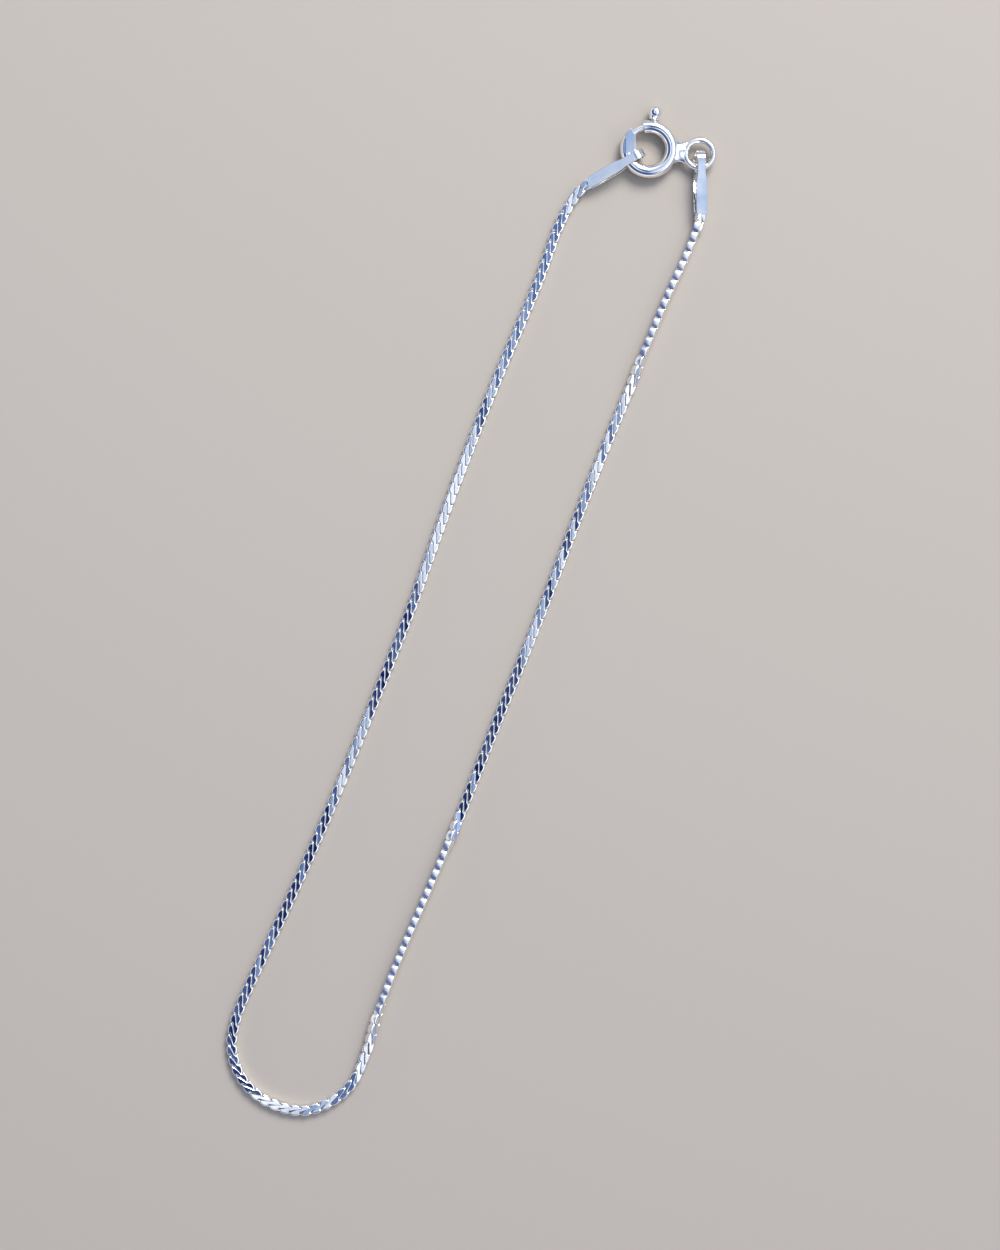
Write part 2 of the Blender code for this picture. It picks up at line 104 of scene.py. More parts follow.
# Bolt
BOLT_WIRE_D = 0.6 * MM
BOLT_CLEARANCE = 0.05 * MM
BOLT_TIP_DEG = 158.0
BOLT_TAIL_DEG = 69.0
BOLT_TRAVEL_DEG = 46.0
KNOB_DEG = 86.0
KNOB_D = 1.16 * MM
KNOB_STANDOFF = 0.2 * MM
STEM_D = 0.5 * MM
NECK_D = 0.92 * MM
COLLAR_SHARE = 1.08
WAIST_SHARE = 0.96
KNOB_POLE_SHARE = 0.03
KNOB_SIDES = 32
KNOB_STEPS = 20
BORE_END_MARGIN_DEG = 5.0
# The bolt's rounded ends: how far in from the end, and the share of the wire's radius there
BOLT_END = (
    {"inward_deg": 0.0, "share": 0.5},
    {"inward_deg": 0.6, "share": 0.85},
)
BOLT_END_DEG = 1.6

# Chain
CHAIN_WIDTH = 0.95 * MM
CHAIN_T = 0.65 * MM
LOOP_LENGTH = 90.05 * MM
LINK_PITCH = 0.915 * MM
LINK_T = 0.58 * MM
LINK_GAP = 0.02 * MM
LINK_LOOSE_DEG = 1.2
LINK_SEED = 7
# A face of a link that looks up less than this counts as its side, and gets the sides' metal
SIDE_LOOKS_UP = 0.2
# A corner of a link's outline moves inward by the distance over its cosine, which counts as this at least
CORNER_HOLD = 0.6

# End tags
TAG_LENGTH = 5.6 * MM
TAG_LOOP_WIDTH = 0.72 * MM
TAG_PLATE_WIDTH = 1.0 * MM
TAG_END_WIDTH = 0.96 * MM
TAG_T = 0.2 * MM
TAG_EDGE_R = 0.05 * MM
TAG_CORNER_R = 0.12 * MM
TAG_WIDENS_AT = 0.31
TAG_WIDENS_OVER = 0.24
TAG_NARROWS_AT = 0.84
TAG_NARROWS_OVER = 0.13
TAG_EDGE_STEPS = 3
TAG_LEAF_STEPS = 24
TAG_LEAF_CROWDING = 1.6
TAG_FOLD_STEPS = 24
TAG_CLEARANCE = 0.05 * MM
CHAIN_IN_TAG = 1.2 * MM
LEFT_TAG_DEG = 214.8
LEFT_TAG_SLACK = 0.57 * MM
RIGHT_TAG_DEG = 276.8
# The eyelet side's tag lies a little left of its solid in the picture
RIGHT_TAG_ASIDE = -0.12 * MM
RIGHT_TAG_ROLL_DEG = -10.0

# The chain's route between its tags: x and y from the ring's centre, in hundredths of the loop's length
CHAIN_ROUTE = (
    (-5.00, -6.44), (-5.42, -8.33), (-5.59, -10.46), (-5.55, -12.84), (-5.51, -15.55), (-5.62, -19.21),
    (-5.83, -24.32), (-5.97, -29.15), (-6.03, -34.15), (-6.02, -38.98), (-5.93, -43.86), (-5.81, -49.19),
    (-5.83, -54.19), (-5.93, -59.41), (-6.05, -64.91), (-6.22, -70.41), (-6.49, -76.29), (-6.80, -81.12),
    (-7.17, -86.06), (-7.48, -89.95), (-7.57, -93.17), (-7.04, -96.01), (-5.60, -98.17), (-3.33, -99.60),
    (-0.69, -100.00), (1.93, -99.44), (4.04, -97.67), (5.26, -95.28), (5.47, -92.28), (5.26, -88.56),
    (5.21, -84.79), (5.33, -80.40), (5.59, -74.74), (5.81, -68.30), (5.91, -62.52), (5.97, -57.02),
    (6.11, -51.30), (6.21, -45.22), (6.22, -39.72), (6.25, -34.20), (6.33, -28.65), (6.50, -22.71),
    (6.64, -17.59), (6.80, -12.85), (7.06, -9.06), (7.13, -7.00), (7.08, -5.55),
)
ROUTE_STEPS = 12

# How far the chain rolls off its flat side, by the distance before its end in the eyelet side's tag
CHAIN_ROLL = (
    {"before_end": 0.0 * MM, "roll_deg": RIGHT_TAG_ROLL_DEG},
    {"before_end": 1.5 * MM, "roll_deg": RIGHT_TAG_ROLL_DEG},
    {"before_end": 2.8 * MM, "roll_deg": -84.0},
    {"before_end": 4.4 * MM, "roll_deg": -80.0},
    {"before_end": 13.5 * MM, "roll_deg": -79.0},
    {"before_end": 19.5 * MM, "roll_deg": -0.8},
    {"before_end": 33.0 * MM, "roll_deg": -1.0},
    {"before_end": 47.0 * MM, "roll_deg": -1.3},
    {"before_end": 57.6 * MM, "roll_deg": -1.0},
    {"before_end": 61.8 * MM, "roll_deg": -80.0},
    {"before_end": 75.0 * MM, "roll_deg": -79.0},
    {"before_end": 82.0 * MM, "roll_deg": -8.0},
    {"before_end": 83.5 * MM, "roll_deg": -2.3},
    {"before_end": 84.9 * MM, "roll_deg": -2.3},
    {"before_end": 85.5 * MM, "roll_deg": 3.4},
    {"before_end": 86.9 * MM, "roll_deg": 3.4},
    {"before_end": 87.7 * MM, "roll_deg": -4.3},
    {"before_end": 92.2 * MM, "roll_deg": -4.3},
    {"before_end": 93.5 * MM, "roll_deg": 3.0},
    {"before_end": 101.0 * MM, "roll_deg": 2.8},
    {"before_end": 103.0 * MM, "roll_deg": 1.6},
    {"before_end": 109.0 * MM, "roll_deg": 1.4},
    {"before_end": 111.0 * MM, "roll_deg": 1.8},
    {"before_end": 119.0 * MM, "roll_deg": 1.6},
    {"before_end": 122.0 * MM, "roll_deg": -0.6},
    {"before_end": 129.0 * MM, "roll_deg": -0.75},
    {"before_end": 132.0 * MM, "roll_deg": 0.4},
    {"before_end": 140.0 * MM, "roll_deg": 0.4},
    {"before_end": 143.0 * MM, "roll_deg": 3.7},
    {"before_end": 155.0 * MM, "roll_deg": 3.4},
    {"before_end": 159.0 * MM, "roll_deg": -1.6},
    {"before_end": 178.0 * MM, "roll_deg": -0.6},
    {"before_end": 181.0 * MM, "roll_deg": 0.0},
)
CHAIN_DROP_LENGTH = 3.0 * MM

# The seam between two links, from one edge of the chain to its middle: shares of the pitch and of the half
# width, and how wide the link's edge is rounded there
LINK_SEAM = (
    {"along": 0.04, "across": -0.70, "rounded": 0.10 * MM},
    {"along": -0.11, "across": -0.52, "rounded": 0.12 * MM},
    {"along": -0.04, "across": -0.34, "rounded": 0.08 * MM},
    {"along": 0.16, "across": -0.20, "rounded": 0.055 * MM},
    {"along": 0.45, "across": 0.0, "rounded": 0.045 * MM},
)
# A link's lobe on the chain's edge, between its two notches, in the same shares
LINK_LOBE = (
    {"along": 0.16, "across": -0.93, "rounded": 0.13 * MM},
    {"along": 0.48, "across": -1.05, "rounded": 0.14 * MM},
    {"along": 0.82, "across": -0.94, "rounded": 0.13 * MM},
)
# A link's rounded edge, from its face to its side: shares of that width, inward and down
LINK_EDGE = (
    {"inward": 1.0, "down": 0.0},
    {"inward": 0.5, "down": 0.16},
    {"inward": 0.1, "down": 0.45},
    {"inward": 0.0, "down": 0.9},
)

LOBE_REACH = CHAIN_WIDTH / 2 * max(-point["across"] for point in LINK_LOBE)
RING_RADIUS = (RING_OUTER_D - RING_TUBE_D) / 2
BORE_D = BOLT_WIRE_D + 2 * BOLT_CLEARANCE
BORE_START_DEG = MOUTH_DEG - 2.0
BORE_END_DEG = BOLT_TAIL_DEG - BOLT_TRAVEL_DEG - BORE_END_MARGIN_DEG
SLOT_HEIGHT = STEM_D + 2 * BOLT_CLEARANCE
EYELET_RADIUS = (EYELET_OUTER_D - EYELET_WIRE_D) / 2
EYELET_X = (RING_OUTER_D + EYELET_OUTER_D) / 2 + EYELET_GAP
TAB_TOP_Z = RING_TUBE_D / 2 - TAB_TOP_BELOW_TUBE
END_GAP = CHAIN_T + 2 * TAG_CLEARANCE
TUBE_CLEAR = RING_TUBE_D / 2 + TAG_CLEARANCE
LEAF_REACH = TAG_LENGTH - TAG_T - TUBE_CLEAR - LEFT_TAG_SLACK
FOLD_HALF_GAP = TUBE_CLEAR + (TUBE_CLEAR - END_GAP / 2) * LEFT_TAG_SLACK / LEAF_REACH
FOLD_X = FOLD_HALF_GAP + TAG_T

# The photograph's frame on the surface: its size and middle, the camera's height and how far it is turned
VIEW_LENGTH = 109.98 * MM
VIEW_CENTRE = Vector((2.76, -0.26, 0.0)) * MM
VIEW_HEIGHT = 250.0 * MM
VIEW_TURN_DEG = 20.8
SENSOR_MM = 36.0
IMAGE_RIGHT = Vector((cos(radians(VIEW_TURN_DEG)), sin(radians(VIEW_TURN_DEG)), 0))
IMAGE_UP = Vector((-IMAGE_RIGHT.y, IMAGE_RIGHT.x, 0))

# The paper underneath, in metres
FLOOR_REACH = 1.5
FLOOR_BELOW = 0.00002

# The softbox, from the middle of the view: to the right, up the picture and above it, in metres
SOFTBOX = {"right": 0.16, "up": 0.32, "above": 0.34, "size": 0.22, "watts": 2.4}

# The window's side of the room, how far over the two sides meet, and how brightly each glows
WINDOW_DIRECTION = IMAGE_UP * 0.5 + IMAGE_RIGHT * 0.87
SIDES_MEET = 0.3
GLOW = {"reach": 0.8, "dim": 1.1, "bright": 1.6}

# The dark gap overhead, as sines off the zenith, and the colours outward from it
GAP_HALF_WIDTH = 0.05
GAP_HALF_LENGTH = 0.2
GAP_MIDDLE = -0.06
GAP_REACH = 4.0
OVERHEAD = (
    {"at": 0.0, "colour": "#06123A"},
    {"at": 0.17, "colour": "#12285C"},
    {"at": 0.25, "colour": "#4A689C"},
    {"at": 0.35, "colour": "#8EA4C6"},
    {"at": 0.46, "colour": "#BCC8DC"},
    {"at": 0.62, "colour": "#E8EDF7"},
    {"at": 1.0, "colour": "#FBFCFF"},
)
# The room from overhead to its skirting, by the sine off the zenith, on its window side and away from it
WINDOW_SIDE = (
    {"at": 0.12, "colour": "#FFFFFF"},
    {"at": 0.16, "colour": "#A9BBDB"},
    {"at": 0.21, "colour": "#9FB3D6"},
    {"at": 0.26, "colour": "#F6FAFF"},
    {"at": 0.35, "colour": "#F6FAFF"},
    {"at": 0.40, "colour": "#8FA8D0"},
    {"at": 0.47, "colour": "#8FA8D0"},
    {"at": 0.54, "colour": "#FFFFFF"},
    {"at": 0.84, "colour": "#FFFFFF"},
    {"at": 0.91, "colour": "#6480B8"},
    {"at": 1.0, "colour": "#8A93A8"},
)
DIM_SIDE = (
    {"at": 0.12, "colour": "#FFFFFF"},
    {"at": 0.16, "colour": "#A9BBDB"},
    {"at": 0.21, "colour": "#9FB3D6"},
    {"at": 0.26, "colour": "#F6FAFF"},
    {"at": 0.38, "colour": "#F6FAFF"},
    {"at": 0.48, "colour": "#7C92BC"},
    {"at": 0.60, "colour": "#3A5288"},
    {"at": 0.80, "colour": "#3A5288"},
    {"at": 0.92, "colour": "#5670A8"},
    {"at": 0.97, "colour": "#FFFFFF"},
)

# Polishing marks are a few microns apart. They are drawn some tenths of a millimetre apart, so that they
# show, with softer patches a few marks wide
MARKS_IN_PATCH = 6
MARK_DEPTH = 0.02 * MM
NOISE_LOW = 0.35
NOISE_HIGH = 0.65


def linear(hex_colour):
    """An sRGB hex colour as linear values."""
    parts = [int(hex_colour[i:i + 2], 16) / 255 for i in (1, 3, 5)]
    return tuple(p / 12.92 if p <= 0.04045 else ((p + 0.055) / 1.055) ** 2.4 for p in parts) + (1.0,)


def add(tree, kind, inputs=None, **settings):
    """Add a node. Its inputs are values, or the sockets that feed them."""
    made = tree.nodes.new(kind)
    for name, value in settings.items():
        setattr(made, name, value)
    for name, value in (inputs or {}).items():
        if isinstance(value, bpy.types.NodeSocket):
            tree.links.new(value, made.inputs[name])
        else:
            made.inputs[name].default_value = value
    return made


def silver(name, colour, roughness, mark_mm, bump):
    """Sterling silver: nearly white reflections, with a polish that is never quite even."""
    material = bpy.data.materials.new(name)
    material.use_nodes = True
    tree = material.node_tree
    tree.nodes.clear()
    place = add(tree, "ShaderNodeTexCoord").outputs["Object"]
    patches = add(tree, "ShaderNodeTexNoise",
                  {"Vector": place, "Scale": 1 / (mark_mm * MARKS_IN_PATCH * MM), "Detail": 3.0})
    marks = add(tree, "ShaderNodeTexNoise", {"Vector": place, "Scale": 1 / (mark_mm * MM), "Detail": 2.0})
    polish = add(tree, "ShaderNodeMapRange",
                 {"Value": patches.outputs["Fac"], "From Min": NOISE_LOW, "From Max": NOISE_HIGH,
                  "To Min": roughness[0], "To Max": roughness[1]})
    relief = add(tree, "ShaderNodeBump",
                 {"Height": marks.outputs["Fac"], "Strength": bump, "Distance": MARK_DEPTH})
    shader = add(tree, "ShaderNodeBsdfPrincipled",
                 {"Metallic": 1.0, "Base Color": linear(colour), "Roughness": polish.outputs["Result"],
                  "Normal": relief.outputs["Normal"]})
    add(tree, "ShaderNodeOutputMaterial", {"Surface": shader.outputs["BSDF"]})
    return material


def mesh_object(name, form, material, sharp_deg=35):
    """Turn a bmesh into an object with its faces outward, smooth but for its edges."""
    bmesh.ops.recalc_face_normals(form, faces=form.faces)
    mesh = bpy.data.meshes.new(name)
    form.to_mesh(mesh)
    form.free()
    mesh.shade_smooth()
    mesh.set_sharp_from_angle(angle=radians(sharp_deg))
    if material:
        mesh.materials.append(material)
    made = bpy.data.objects.new(name, mesh)
    bpy.context.scene.collection.objects.link(made)
    return made


def loft(form, rings, closed=False):
    """Skin a row of equal rings of points, and cap its ends unless it closes on itself."""
    rows = [[form.verts.new(point) for point in ring] for ring in rings]
    count = len(rows[0])
    pairs = list(zip(rows, rows[1:]))
    if closed:
        pairs.append((rows[-1], rows[0]))
    for first, second in pairs:
        for i in range(count):
            j = (i + 1) % count
            form.faces.new((first[i], first[j], second[j], second[i]))
    if not closed:
        form.faces.new(rows[0])
        form.faces.new(rows[-1])


def ease(share):
    """From 0 to 1 with a soft start and end."""
    share = min(max(share, 0), 1)
    return share * share * (3 - 2 * share)


def even(start, end, step):
    """Values from a start to an end, at most a step apart."""
    count = max(1, ceil(abs(end - start) / step))
    return [start + (end - start) * k / count for k in range(count + 1)]


# The chain

def link_outline():
    """A link's face: two seams of the same curve, one pitch apart, joined by a lobe on each edge.

    Each point comes with the width that the edge is rounded there.
    """
    half = [(point["along"], point["across"], point["rounded"]) for point in LINK_SEAM]
    run = 2 * half[-1][0]
    seam = half + [(run - along, -across, rounded) for along, across, rounded in half[-2::-1]]
    lobe = [(point["along"], point["across"], point["rounded"]) for point in LINK_LOBE]
    far_lobe = [(run + 1 - along, -across, rounded) for along, across, rounded in lobe[::-1]]
    front = [(along + 1, across, rounded) for along, across, rounded in seam[::-1]]
    middle = (run + 1) / 2
    shares = seam + far_lobe + front + lobe[::-1]
    points = [Vector(((along - middle) * LINK_PITCH, across * CHAIN_WIDTH / 2))
              for along, across, _ in shares]
    widths = [rounded for _, _, rounded in shares]
    area = sum(p.cross(q) for p, q in zip(points, points[1:] + points[:1]))
    if area < 0:
        return points[::-1], widths[::-1]
    return points, widths


def inset(outline, distances):
    """Move a closed outline inward by a distance at each point, its sharp corners held back."""
    moved = []
    count = len(outline)
    for i, point in enumerate(outline):
        before = (point - outline[i - 1]).normalized()
        after = (outline[(i + 1) % count] - point).normalized()
        inward = Vector((-before.y - after.y, before.x + after.x)).normalized()
        lean = max(inward.dot(Vector((-before.y, before.x))), CORNER_HOLD)
        moved.append(point + inward * distances[i] / lean)
    return moved


def make_link():
    """One flat S-shaped link with rounded edges, about its own middle, the chain running along X."""
    outline, widths = link_outline()
    half = LINK_T / 2
    edge = []
    for level in LINK_EDGE:
        points = inset(outline, [LINK_GAP / 2 + width * level["inward"] for width in widths])
        edge.append([(p, half - width * level["down"]) for p, width in zip(points, widths)])
    top = [[Vector((p.x, p.y, z)) for p, z in ring] for ring in edge]
    bottom = [Vector((p.x, p.y, -half)) for p, z in edge[1]]
    form = bmesh.new()
    loft(form, [bottom] + top[::-1])
    link = mesh_object("serpentine_link", form, None, sharp_deg=60)
    sides = link.data.attributes.new("side", "BOOLEAN", "FACE")
    for face in link.data.polygons:
        if len(face.vertices) > 4:
            face.use_smooth = False
        sides.data[face.index].value = abs(face.normal.z) < SIDE_LOOKS_UP
    return link


def smooth_route(points):
    """A smooth curve through given points, with finer points on it."""
    ends = [points[0] * 2 - points[1]] + points + [points[-1] * 2 - points[-2]]
    fine = []
    for p0, p1, p2, p3 in zip(ends, ends[1:], ends[2:], ends[3:]):
        t1 = sqrt((p1 - p0).length)
        t2 = t1 + sqrt((p2 - p1).length)
        t3 = t2 + sqrt((p3 - p2).length)
        for k in range(ROUTE_STEPS):
            t = t1 + (t2 - t1) * k / ROUTE_STEPS
            a1 = p0.lerp(p1, t / t1)
            a2 = p1.lerp(p2, (t - t1) / (t2 - t1))
            a3 = p2.lerp(p3, (t - t2) / (t3 - t2))
            b1 = a1.lerp(a2, t / t2)
            b2 = a2.lerp(a3, (t - t1) / (t3 - t1))
            fine.append(b1.lerp(b2, (t - t1) / (t2 - t1)))
    fine.append(points[-1])
    return fine


def chain_roll(before_end):
    """The chain's roll at a distance before its end, in radians."""
    for low, high in zip(CHAIN_ROLL, CHAIN_ROLL[1:]):
        if before_end <= high["before_end"]:
            share = ease((before_end - low["before_end"]) / (high["before_end"] - low["before_end"]))
            return radians(low["roll_deg"] + (high["roll_deg"] - low["roll_deg"]) * share)
    return radians(CHAIN_ROLL[-1]["roll_deg"])


def route_curve(left_frame, right_frame):
    """The chain's middle line as a curve, tilted where the chain rolls."""
    gripped = (Vector((TAG_LENGTH, 0, 0)), Vector((TAG_LENGTH - CHAIN_IN_TAG, 0, 0)))
    left = [left_frame @ point for point in gripped]
    right = [right_frame @ point for point in gripped]
    start = RING_CENTRE.copy()
    start.z = 0
    middle = [start + Vector((x, y, 0)) * LOOP_LENGTH / 100 for x, y in CHAIN_ROUTE]
    flat = [Vector((p.x, p.y, 0)) for p in left[::-1] + middle + right]
    fine = smooth_route(flat)
    run = [0.0]
    for p, q in zip(fine, fine[1:]):
        run.append(run[-1] + (q - p).length)
    total = run[-1]
    curve = bpy.data.curves.new("chain_route", "CURVE")
    curve.dimensions = "3D"
    curve.twist_mode = "Z_UP"
    spline = curve.splines.new("POLY")
    spline.points.add(len(fine) - 1)
    grip_end = CHAIN_IN_TAG + TAG_T
    for point, place, distance in zip(spline.points, fine, run):
        roll = chain_roll(total - distance)
        height = LINK_T / 2 * cos(roll) + LOBE_REACH * abs(sin(roll))
        for away, (mouth, inner) in ((distance, left), (total - distance, right)):
            held = inner.z + (mouth.z - inner.z) * min(away / grip_end, 1)
            height = held + (height - held) * ease((away - grip_end) / CHAIN_DROP_LENGTH)
        point.co = (place.x, place.y, height, 1)
        point.tilt = -roll
    route = bpy.data.objects.new("chain_route", curve)
    bpy.context.scene.collection.objects.link(route)
    return route


def link_tree():
    """Links set one pitch apart along a curve, each turned to it and a little off true."""
    tree = bpy.data.node_groups.new("links_along_route", "GeometryNodeTree")
    sockets = (("Route", "NodeSocketGeometry"), ("Link", "NodeSocketObject"), ("Pitch", "NodeSocketFloat"),
               ("Looseness", "NodeSocketFloat"), ("Seed", "NodeSocketInt"),
               ("Face metal", "NodeSocketMaterial"), ("Side metal", "NodeSocketMaterial"))
    for name, kind in sockets:
        tree.interface.new_socket(name, in_out="INPUT", socket_type=kind)
    tree.interface.new_socket("Chain", in_out="OUTPUT", socket_type="NodeSocketGeometry")
    given = add(tree, "NodeGroupInput").outputs
    places = add(tree, "GeometryNodeCurveToPoints",
                 {"Curve": given["Route"], "Length": given["Pitch"]}, mode="LENGTH")
    aimed = add(tree, "FunctionNodeAlignRotationToVector", {"Vector": places.outputs["Tangent"]}, axis="X")
    left = add(tree, "ShaderNodeVectorMath",
               {0: places.outputs["Normal"], "Scale": -1.0}, operation="SCALE")
    flat = add(tree, "FunctionNodeAlignRotationToVector",
               {"Rotation": aimed.outputs["Rotation"], "Vector": left.outputs["Vector"]},
               axis="Y", pivot_axis="X")
    slack = add(tree, "ShaderNodeMath", {0: given["Looseness"], 1: -1.0}, operation="MULTIPLY")
    wobble = add(tree, "FunctionNodeRandomValue",
                 {2: slack.outputs[0], 3: given["Looseness"], "Seed": given["Seed"]}, data_type="FLOAT")
    euler = add(tree, "ShaderNodeCombineXYZ", {"X": wobble.outputs[1]})
    nudge = add(tree, "FunctionNodeEulerToRotation", {"Euler": euler.outputs[0]})
    turned = add(tree, "FunctionNodeRotateRotation",
                 {"Rotation": flat.outputs["Rotation"], "Rotate By": nudge.outputs["Rotation"]},
                 rotation_space="LOCAL")
    link = add(tree, "GeometryNodeObjectInfo", {"Object": given["Link"]})
    row = add(tree, "GeometryNodeInstanceOnPoints",
              {"Points": places.outputs["Points"], "Instance": link.outputs["Geometry"],
               "Rotation": turned.outputs["Rotation"]})
    solid = add(tree, "GeometryNodeRealizeInstances", {"Geometry": row.outputs["Instances"]})
    faces = add(tree, "GeometryNodeSetMaterial",
                {"Geometry": solid.outputs["Geometry"], "Material": given["Face metal"]})
    side = add(tree, "GeometryNodeInputNamedAttribute", {"Name": "side"}, data_type="BOOLEAN")
    sides = add(tree, "GeometryNodeSetMaterial",
                {"Geometry": faces.outputs["Geometry"], "Selection": side.outputs["Attribute"],
                 "Material": given["Side metal"]})
    add(tree, "NodeGroupOutput", {"Chain": sides.outputs["Geometry"]})
    return tree


def make_chain(face_metal, side_metal, left_frame, right_frame):
    """The chain's links, as one plain mesh."""
    route = route_curve(left_frame, right_frame)
    link = make_link()
    tree = link_tree()
    maker = route.modifiers.new("links", "NODES")
    maker.node_group = tree
    given = {item.name: item.identifier for item in tree.interface.items_tree if item.in_out == "INPUT"}
    maker[given["Link"]] = link
    maker[given["Pitch"]] = LINK_PITCH
    maker[given["Looseness"]] = radians(LINK_LOOSE_DEG)
    maker[given["Seed"]] = LINK_SEED
    maker[given["Face metal"]] = face_metal
    maker[given["Side metal"]] = side_metal
    shapes = bpy.context.evaluated_depsgraph_get()
    mesh = bpy.data.meshes.new_from_object(route.evaluated_get(shapes), depsgraph=shapes)
    mesh.name = "serpentine_chain"
    chain = bpy.data.objects.new("serpentine_chain", mesh)
    bpy.context.scene.collection.objects.link(chain)
    for helper in (route, link):
        bpy.data.objects.remove(helper, do_unlink=True)
    return chain


# The end tags

def tag_frame(node, direction_deg, roll_deg, aside=0.0):
    """A tag's own axes in the model: X from its fold to its chain end, about its middle plane."""
    roll = radians(roll_deg)
    fold_z = FOLD_X * cos(roll) + TAG_LOOP_WIDTH / 2 * abs(sin(roll))
    end_z = (END_GAP / 2 + TAG_T) * cos(roll) + TAG_PLATE_WIDTH / 2 * abs(sin(roll))
    pitch = atan2(fold_z - end_z, TAG_LENGTH - FOLD_X)
    aimed = Matrix.Rotation(radians(direction_deg), 4, "Z") @ Matrix.Rotation(pitch, 4, "Y")
    turn = aimed @ Matrix.Rotation(roll, 4, "X")
    corners = [turn @ point for ring in tag_rings(1) for point in ring]
    low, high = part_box(node)
    place = Vector()
    for axis in range(3):
        values = [corner[axis] for corner in corners]
        place[axis] = (low[axis] + high[axis]) / 2 - (min(values) + max(values)) / 2
    return Matrix.Translation(place + IMAGE_RIGHT * aside) @ turn


def tag_width(along):
    """A tag's width at a distance from its fold.

    It is narrow on the clasp, widest where it is stamped and a little narrower at its round-cornered end.
    """
    widen = ease((along / TAG_LENGTH - TAG_WIDENS_AT) / TAG_WIDENS_OVER)
    narrow = ease((along / TAG_LENGTH - TAG_NARROWS_AT) / TAG_NARROWS_OVER)
    width = TAG_LOOP_WIDTH + (TAG_PLATE_WIDTH - TAG_LOOP_WIDTH) * widen
    width -= (TAG_PLATE_WIDTH - TAG_END_WIDTH) * narrow
    into_corner = max(TAG_CORNER_R - (TAG_LENGTH - along), 0)
    return width - 2 * (TAG_CORNER_R - sqrt(TAG_CORNER_R ** 2 - into_corner ** 2))


def tag_rings(sides):
    """Cross sections of the folded strip, from the upper leaf's end round the fold to the lower one's."""
    fold_r = FOLD_HALF_GAP + TAG_T / 2
    leaf_start = Vector((FOLD_X, 0, fold_r))
    leaf_end = Vector((TAG_LENGTH, 0, END_GAP / 2 + TAG_T / 2))
    slope = (leaf_end - leaf_start).normalized()
    normal = Vector((-slope.z, 0, slope.x))
    shares = [(k / TAG_LEAF_STEPS) ** TAG_LEAF_CROWDING for k in range(TAG_LEAF_STEPS + 1)]
    upper = [(leaf_end.lerp(leaf_start, share), normal) for share in shares]
    bend = []
    for k in range(1, TAG_FOLD_STEPS):
        turn = pi / 2 + pi * k / TAG_FOLD_STEPS
        out = Vector((cos(turn), 0, sin(turn)))
        bend.append((Vector((FOLD_X, 0, 0)) + out * fold_r, out))
    lower = [(Vector((p.x, 0, -p.z)), Vector((n.x, 0, -n.z))) for p, n in upper[::-1]]
    rings = []
    for place, out in upper + bend + lower:
        half = tag_width(place.x) / 2
        ring = []
        for quarter in range(4):
            side = 1 if quarter in (0, 3) else -1
            face = 1 if quarter in (0, 1) else -1
            for k in range(sides):
                swing = pi / 2 * (k + 0.5) / sides + pi / 2 * quarter
                along_y = side * (half - TAG_EDGE_R) + TAG_EDGE_R * cos(swing)
                along_n = face * (TAG_T / 2 - TAG_EDGE_R) + TAG_EDGE_R * sin(swing)
                ring.append(place + Vector((0, along_y, 0)) + out * along_n)
        rings.append(ring)
    return rings


def make_tag(name, metal, tag_matrix):
    """One folded strip, set by its own axes."""
    form = bmesh.new()
    loft(form, [[tag_matrix @ point for point in ring] for ring in tag_rings(TAG_EDGE_STEPS)])
    return mesh_object(name, form, metal, sharp_deg=18)


# The clasp

def bent_rings(radius, sections, sides):
    """Rings of points about a wire bent round Z. A section is an angle and the wire's radius there."""
    rings = []
    for degrees_round, wire_r in sections:
        a = radians(degrees_round)
        ring = []
        for i in range(sides):
            turn = 2 * pi * i / sides
            reach = radius + wire_r * cos(turn)
            ring.append(Vector((reach * cos(a), reach * sin(a), wire_r * sin(turn))))
        rings.append(ring)
    return rings


def rounded_end(at_deg, inward, outer_r, inner_r):
    """Sections that round a tube's rim at one of its ends, from its outside to its bore."""
    edge = (outer_r - inner_r) * RIM_ROUND_SHARE
    sections = []
    for k in range(RIM_STEPS + 1):
        swing = pi / 2 * k / RIM_STEPS
        back = RIM_ROUND_DEG * (1 - sin(swing)) * inward
        sections.append((at_deg + back, outer_r - edge * (1 - cos(swing))))
    sections.append((at_deg, inner_r))
    return sections


def tube_sections():
    """The spring ring's tube: up its outside, round both rims and down its two blind bores."""
    outer_r = RING_TUBE_D / 2
    inner_r = BORE_D / 2
    catch_end = BOLT_TIP_DEG + CATCH_DEPTH_DEG
    catch = [(catch_end, BORE_TIP_R), (catch_end, inner_r)]
    first_rim = rounded_end(CATCH_DEG, 1, outer_r, inner_r)[::-1]
    past_rim = RIM_ROUND_DEG * 1.5
    outside = [(a, outer_r) for a in even(CATCH_DEG + past_rim, 360 + MOUTH_DEG - past_rim, RING_STEP_DEG)]
    last_rim = rounded_end(360 + MOUTH_DEG, -1, outer_r, inner_r)
    bore = [(360 + a, inner_r) for a in even(BORE_START_DEG, BORE_END_DEG, BORE_STEP_DEG)]
    return catch + first_rim + outside + last_rim + bore + [(360 + BORE_END_DEG, BORE_TIP_R)]


def flat_plate(form, outline, bottom, top):
    """A level plate of one outline."""
    loft(form, [[Vector((x, y, z)) for x, y in outline] for z in (bottom, top)])


def sector(inner, outer, start_deg, end_deg):
    """The outline of a part of a flat ring."""
    angles = [radians(a) for a in even(start_deg, end_deg, RING_STEP_DEG)]
    out = [(outer * cos(a), outer * sin(a)) for a in angles]
    back = [(inner * cos(a), inner * sin(a)) for a in angles[::-1]]
    return out + back


